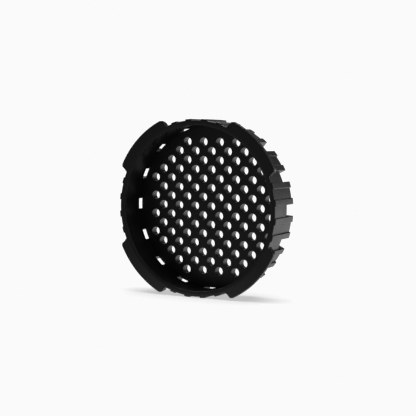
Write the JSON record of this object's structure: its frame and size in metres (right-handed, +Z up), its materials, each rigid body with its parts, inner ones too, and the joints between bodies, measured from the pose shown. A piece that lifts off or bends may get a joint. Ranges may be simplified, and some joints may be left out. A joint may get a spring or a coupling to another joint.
{
  "type": "coffee press filter cap",
  "caption": "Shallow round plastic filter cap with a perforated strainer floor, a ribbed and notched wall and locking ears at the mouth; it twists onto a coffee press chamber.",
  "frame": {"origin": "on the cap's axis, halfway between the mouth's face and the back: the middle of its bounding box", "axes": "+Y along the cap's axis from the mouth towards the back, so the mouth opens towards -Y; +Z up, with the cap standing on edge on two grip ribs; +X to the right as seen from the mouth"},
  "size_m": [0.0684, 0.016, 0.0684],
  "materials": {
    "black_polypropylene": "moulded, satin, fine matt grain"
  },
  "bodies": {
    "root": {"strainer_disc": "black_polypropylene", "skirt_wall": "black_polypropylene", "grip_leg_01": "black_polypropylene", "grip_leg_02": "black_polypropylene", "grip_leg_03": "black_polypropylene", "grip_leg_04": "black_polypropylene", "grip_leg_05": "black_polypropylene", "grip_leg_06": "black_polypropylene", "grip_leg_07": "black_polypropylene", "grip_leg_08": "black_polypropylene", "grip_leg_09": "black_polypropylene", "grip_leg_10": "black_polypropylene", "grip_leg_11": "black_polypropylene", "grip_leg_12": "black_polypropylene", "grip_leg_13": "black_polypropylene", "grip_leg_14": "black_polypropylene", "grip_leg_15": "black_polypropylene", "grip_leg_16": "black_polypropylene", "grip_rib_01": "black_polypropylene", "grip_rib_02": "black_polypropylene", "grip_rib_03": "black_polypropylene", "grip_rib_04": "black_polypropylene", "grip_rib_05": "black_polypropylene", "grip_rib_06": "black_polypropylene", "grip_rib_07": "black_polypropylene", "grip_rib_08": "black_polypropylene", "grip_rib_09": "black_polypropylene", "grip_rib_10": "black_polypropylene", "grip_rib_11": "black_polypropylene", "grip_rib_12": "black_polypropylene", "grip_rib_13": "black_polypropylene", "grip_rib_14": "black_polypropylene", "grip_rib_15": "black_polypropylene", "grip_rib_16": "black_polypropylene", "grip_rib_17": "black_polypropylene", "grip_rib_18": "black_polypropylene", "grip_rib_19": "black_polypropylene", "grip_rib_20": "black_polypropylene", "grip_rib_21": "black_polypropylene", "grip_rib_22": "black_polypropylene", "grip_rib_23": "black_polypropylene", "grip_rib_24": "black_polypropylene", "grip_rib_25": "black_polypropylene", "grip_rib_26": "black_polypropylene", "grip_rib_27": "black_polypropylene", "grip_rib_28": "black_polypropylene", "grip_rib_29": "black_polypropylene", "grip_rib_30": "black_polypropylene", "grip_rib_31": "black_polypropylene", "grip_rib_32": "black_polypropylene", "locking_ear_1": "black_polypropylene", "locking_ear_2": "black_polypropylene", "locking_ear_3": "black_polypropylene", "locking_ear_4": "black_polypropylene"}
  },
  "joints": []
}
